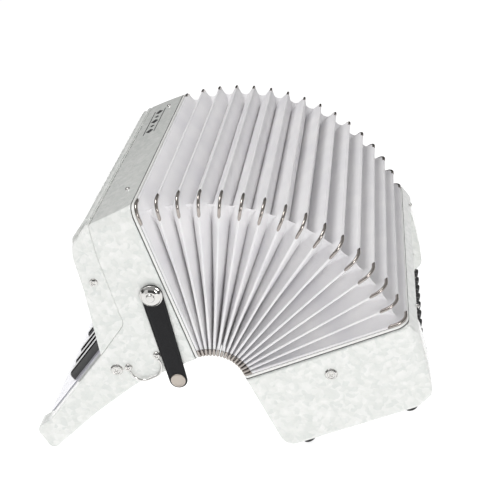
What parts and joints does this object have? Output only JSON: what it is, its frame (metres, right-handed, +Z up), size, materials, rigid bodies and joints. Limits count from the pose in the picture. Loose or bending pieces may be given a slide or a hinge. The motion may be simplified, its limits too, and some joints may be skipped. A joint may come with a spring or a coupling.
{
  "type": "piano accordion",
  "caption": "Piano accordion standing as an open arch: fanned pleated bellows between a keyboard side and a button side, with straps, bails and rubber feet.",
  "frame": {"origin": "on the floor under the middle of the box of the standing instrument", "axes": "+X from the keyboard side to the button side, +Y along the length away from the high-note end, +Z up"},
  "size_m": [0.394, 0.339, 0.274],
  "materials": {
    "bellows_cloth": "woven cloth, satin",
    "pearloid": "white pearloid celluloid, glossy",
    "bellows_frame": "painted white, satin",
    "gasket_felt": "dark felt",
    "reed_wood": "bare spruce",
    "machine_metal": "satin",
    "spring_steel": "bright",
    "white_key": "glossy",
    "black_key": "glossy",
    "black_plastic": "satin",
    "black_button": "glossy",
    "air_button": "glossy",
    "foot_rubber": "matt",
    "strap_leather": "grained black leather",
    "nickel": "polished nickel",
    "wheel_plastic": "knurled"
  },
  "bodies": {
    "treble_side": {"treble_box": "pearloid", "grille_cover": "pearloid", "keyboard_bed": "pearloid", "key_axle": "spring_steel", "key_springs": "spring_steel", "treble_reed_blocks": "reed_wood", "treble_gasket": "gasket_felt", "treble_bellows_frame": "bellows_frame", "bellows_fold_01": "bellows_cloth", "strap_snaps": "nickel", "treble_screws": "nickel"},
    "keys_a": {"keys_a": "white_key"},
    "keys_a_sharp": {"keys_a_sharp": "black_key"},
    "keys_b": {"keys_b": "white_key"},
    "keys_c": {"keys_c": "white_key"},
    "keys_c_sharp": {"keys_c_sharp": "black_key"},
    "keys_d": {"keys_d": "white_key"},
    "keys_d_sharp": {"keys_d_sharp": "black_key"},
    "keys_e": {"keys_e": "white_key"},
    "keys_f": {"keys_f": "white_key"},
    "keys_f_sharp": {"keys_f_sharp": "black_key"},
    "keys_g": {"keys_g": "white_key"},
    "keys_g_sharp": {"keys_g_sharp": "black_key"},
    "fold_02": {"bellows_fold_02": "bellows_cloth"},
    "fold_03": {"bellows_fold_03": "bellows_cloth"},
    "fold_04": {"bellows_fold_04": "bellows_cloth"},
    "fold_05": {"bellows_fold_05": "bellows_cloth"},
    "fold_06": {"bellows_fold_06": "bellows_cloth"},
    "fold_07": {"bellows_fold_07": "bellows_cloth"},
    "fold_08": {"bellows_fold_08": "bellows_cloth"},
    "fold_09": {"bellows_fold_09": "bellows_cloth"},
    "fold_10": {"bellows_fold_10": "bellows_cloth"},
    "fold_11": {"bellows_fold_11": "bellows_cloth"},
    "fold_12": {"bellows_fold_12": "bellows_cloth"},
    "fold_13": {"bellows_fold_13": "bellows_cloth"},
    "fold_14": {"bellows_fold_14": "bellows_cloth"},
    "fold_15": {"bellows_fold_15": "bellows_cloth"},
    "bass_side": {"bass_box": "pearloid", "bass_cover": "pearloid", "bass_button_board": "black_plastic", "bass_machine": "machine_metal", "bass_reed_blocks": "reed_wood", "rubber_feet": "foot_rubber", "bass_strap": "strap_leather", "bass_strap_brackets": "nickel", "bass_screws": "nickel", "bass_gasket": "gasket_felt", "bass_bellows_frame": "bellows_frame", "bellows_fold_16": "bellows_cloth"},
    "bass_buttons_counter": {"bass_buttons_counter": "black_button"},
    "bass_buttons_root": {"bass_buttons_root": "black_button"},
    "bass_buttons_major": {"bass_buttons_major": "black_button"},
    "bass_buttons_minor": {"bass_buttons_minor": "black_button"},
    "air_button": {"air_button": "air_button"},
    "strap_wheel": {"strap_wheel": "wheel_plastic"},
    "bellows_strap_bottom": {"bellows_strap_bottom": "strap_leather"},
    "bellows_strap_top": {"bellows_strap_top": "strap_leather"},
    "bail_bottom": {"bail_bottom": "nickel"},
    "bail_top": {"bail_top": "nickel"}
  },
  "joints": [
    {"name": "bellows_01", "type": "hinge", "parent": "treble_side", "child": "fold_02", "pos_m": [-0.02039, 0, 0.10622], "axis": [0, -1, 0], "range_deg": [0, 5.69]},
    {"name": "bellows_02", "type": "hinge", "parent": "fold_02", "child": "fold_03", "pos_m": [-0.01716, 0, 0.1068], "axis": [0, -1, 0], "range_deg": [0, 5.69]},
    {"name": "bellows_03", "type": "hinge", "parent": "fold_03", "child": "fold_04", "pos_m": [-0.01389, 0, 0.10704], "axis": [0, -1, 0], "range_deg": [0, 5.69]},
    {"name": "bellows_04", "type": "hinge", "parent": "fold_04", "child": "fold_05", "pos_m": [-0.01061, 0, 0.10697], "axis": [0, -1, 0], "range_deg": [0, 5.69]},
    {"name": "bellows_05", "type": "hinge", "parent": "fold_05", "child": "fold_06", "pos_m": [-0.00736, 0, 0.10656], "axis": [0, -1, 0], "range_deg": [0, 5.69]},
    {"name": "bellows_06", "type": "hinge", "parent": "fold_06", "child": "fold_07", "pos_m": [-0.00416, 0, 0.10584], "axis": [0, -1, 0], "range_deg": [0, 5.69]},
    {"name": "bellows_07", "type": "hinge", "parent": "fold_07", "child": "fold_08", "pos_m": [-0.00104, 0, 0.10481], "axis": [0, -1, 0], "range_deg": [0, 5.69]},
    {"name": "bellows_08", "type": "hinge", "parent": "fold_08", "child": "fold_09", "pos_m": [0.00195, 0, 0.10347], "axis": [0, -1, 0], "range_deg": [0, 5.69]},
    {"name": "bellows_09", "type": "hinge", "parent": "fold_09", "child": "fold_10", "pos_m": [0.00479, 0, 0.10184], "axis": [0, -1, 0], "range_deg": [0, 5.69]},
    {"name": "bellows_10", "type": "hinge", "parent": "fold_10", "child": "fold_11", "pos_m": [0.00747, 0, 0.09993], "axis": [0, -1, 0], "range_deg": [0, 5.69]},
    {"name": "bellows_11", "type": "hinge", "parent": "fold_11", "child": "fold_12", "pos_m": [0.00993, 0, 0.09777], "axis": [0, -1, 0], "range_deg": [0, 5.69]},
    {"name": "bellows_12", "type": "hinge", "parent": "fold_12", "child": "fold_13", "pos_m": [0.01218, 0, 0.09538], "axis": [0, -1, 0], "range_deg": [0, 5.69]},
    {"name": "bellows_13", "type": "hinge", "parent": "fold_13", "child": "fold_14", "pos_m": [0.01417, 0, 0.09277], "axis": [0, -1, 0], "range_deg": [0, 5.69]},
    {"name": "bellows_14", "type": "hinge", "parent": "fold_14", "child": "fold_15", "pos_m": [0.0159, 0, 0.08998], "axis": [0, -1, 0], "range_deg": [0, 5.69]},
    {"name": "bellows_15", "type": "hinge", "parent": "fold_15", "child": "bass_side", "pos_m": [0.01734, 0, 0.08704], "axis": [0, -1, 0], "range_deg": [0, 5.69]},
    {"name": "keys_a_press", "type": "hinge", "parent": "treble_side", "child": "keys_a", "pos_m": [-0.10865, 0, 0.11139], "axis": [0, -1, 0], "range_deg": [0, 1.96], "stiffness_Nm_per_rad": 3, "springref_deg": -3.44},
    {"name": "keys_a_sharp_press", "type": "hinge", "parent": "treble_side", "child": "keys_a_sharp", "pos_m": [-0.10865, 0, 0.11139], "axis": [0, -1, 0], "range_deg": [0, 1.96], "stiffness_Nm_per_rad": 3, "springref_deg": -3.44},
    {"name": "keys_b_press", "type": "hinge", "parent": "treble_side", "child": "keys_b", "pos_m": [-0.10865, 0, 0.11139], "axis": [0, -1, 0], "range_deg": [0, 1.96], "stiffness_Nm_per_rad": 3, "springref_deg": -3.44},
    {"name": "keys_c_press", "type": "hinge", "parent": "treble_side", "child": "keys_c", "pos_m": [-0.10865, 0, 0.11139], "axis": [0, -1, 0], "range_deg": [0, 1.96], "stiffness_Nm_per_rad": 3, "springref_deg": -3.44},
    {"name": "keys_c_sharp_press", "type": "hinge", "parent": "treble_side", "child": "keys_c_sharp", "pos_m": [-0.10865, 0, 0.11139], "axis": [0, -1, 0], "range_deg": [0, 1.96], "stiffness_Nm_per_rad": 3, "springref_deg": -3.44},
    {"name": "keys_d_press", "type": "hinge", "parent": "treble_side", "child": "keys_d", "pos_m": [-0.10865, 0, 0.11139], "axis": [0, -1, 0], "range_deg": [0, 1.96], "stiffness_Nm_per_rad": 3, "springref_deg": -3.44},
    {"name": "keys_d_sharp_press", "type": "hinge", "parent": "treble_side", "child": "keys_d_sharp", "pos_m": [-0.10865, 0, 0.11139], "axis": [0, -1, 0], "range_deg": [0, 1.96], "stiffness_Nm_per_rad": 3, "springref_deg": -3.44},
    {"name": "keys_e_press", "type": "hinge", "parent": "treble_side", "child": "keys_e", "pos_m": [-0.10865, 0, 0.11139], "axis": [0, -1, 0], "range_deg": [0, 1.96], "stiffness_Nm_per_rad": 3, "springref_deg": -3.44},
    {"name": "keys_f_press", "type": "hinge", "parent": "treble_side", "child": "keys_f", "pos_m": [-0.10865, 0, 0.11139], "axis": [0, -1, 0], "range_deg": [0, 1.96], "stiffness_Nm_per_rad": 3, "springref_deg": -3.44},
    {"name": "keys_f_sharp_press", "type": "hinge", "parent": "treble_side", "child": "keys_f_sharp", "pos_m": [-0.10865, 0, 0.11139], "axis": [0, -1, 0], "range_deg": [0, 1.96], "stiffness_Nm_per_rad": 3, "springref_deg": -3.44},
    {"name": "keys_g_press", "type": "hinge", "parent": "treble_side", "child": "keys_g", "pos_m": [-0.10865, 0, 0.11139], "axis": [0, -1, 0], "range_deg": [0, 1.96], "stiffness_Nm_per_rad": 3, "springref_deg": -3.44},
    {"name": "keys_g_sharp_press", "type": "hinge", "parent": "treble_side", "child": "keys_g_sharp", "pos_m": [-0.10865, 0, 0.11139], "axis": [0, -1, 0], "range_deg": [0, 1.96], "stiffness_Nm_per_rad": 3, "springref_deg": -3.44},
    {"name": "bass_buttons_counter_press", "type": "slide", "parent": "bass_side", "child": "bass_buttons_counter", "axis": [-0.9787, 0, 0.2051], "range_m": [0, 0.0035], "stiffness_N_per_m": 1200, "springref_m": -0.003},
    {"name": "bass_buttons_root_press", "type": "slide", "parent": "bass_side", "child": "bass_buttons_root", "axis": [-0.9787, 0, 0.2051], "range_m": [0, 0.0035], "stiffness_N_per_m": 1200, "springref_m": -0.003},
    {"name": "bass_buttons_major_press", "type": "slide", "parent": "bass_side", "child": "bass_buttons_major", "axis": [-0.9787, 0, 0.2051], "range_m": [0, 0.0035], "stiffness_N_per_m": 1200, "springref_m": -0.003},
    {"name": "bass_buttons_minor_press", "type": "slide", "parent": "bass_side", "child": "bass_buttons_minor", "axis": [-0.9787, 0, 0.2051], "range_m": [0, 0.0035], "stiffness_N_per_m": 1200, "springref_m": -0.003},
    {"name": "air_button_press", "type": "slide", "parent": "bass_side", "child": "air_button", "axis": [-0.9787, 0, 0.2051], "range_m": [0, 0.005], "stiffness_N_per_m": 800, "springref_m": -0.002},
    {"name": "strap_wheel_turn", "type": "hinge", "parent": "bass_side", "child": "strap_wheel", "pos_m": [0.12082, 0.152, 0.04392], "axis": [0.3481, 0, -0.9375], "continuous": true},
    {"name": "bellows_strap_bottom_swing", "type": "hinge", "parent": "treble_side", "child": "bellows_strap_bottom", "pos_m": [-0.06109, -0.16, 0.17684], "axis": [0, -1, 0], "range_deg": [0, 96.7]},
    {"name": "bellows_strap_top_swing", "type": "hinge", "parent": "treble_side", "child": "bellows_strap_top", "pos_m": [-0.06109, 0.16, 0.17684], "axis": [0, -1, 0], "range_deg": [0, 96.7]},
    {"name": "bail_bottom_swing", "type": "hinge", "parent": "treble_side", "child": "bail_bottom", "pos_m": [-0.09345, -0.1626, 0.09657], "axis": [-0.9092, 0, -0.4163], "range_deg": [0, 150]},
    {"name": "bail_top_swing", "type": "hinge", "parent": "treble_side", "child": "bail_top", "pos_m": [-0.09345, 0.1626, 0.09657], "axis": [0.9092, 0, 0.4163], "range_deg": [0, 150]}
  ]
}
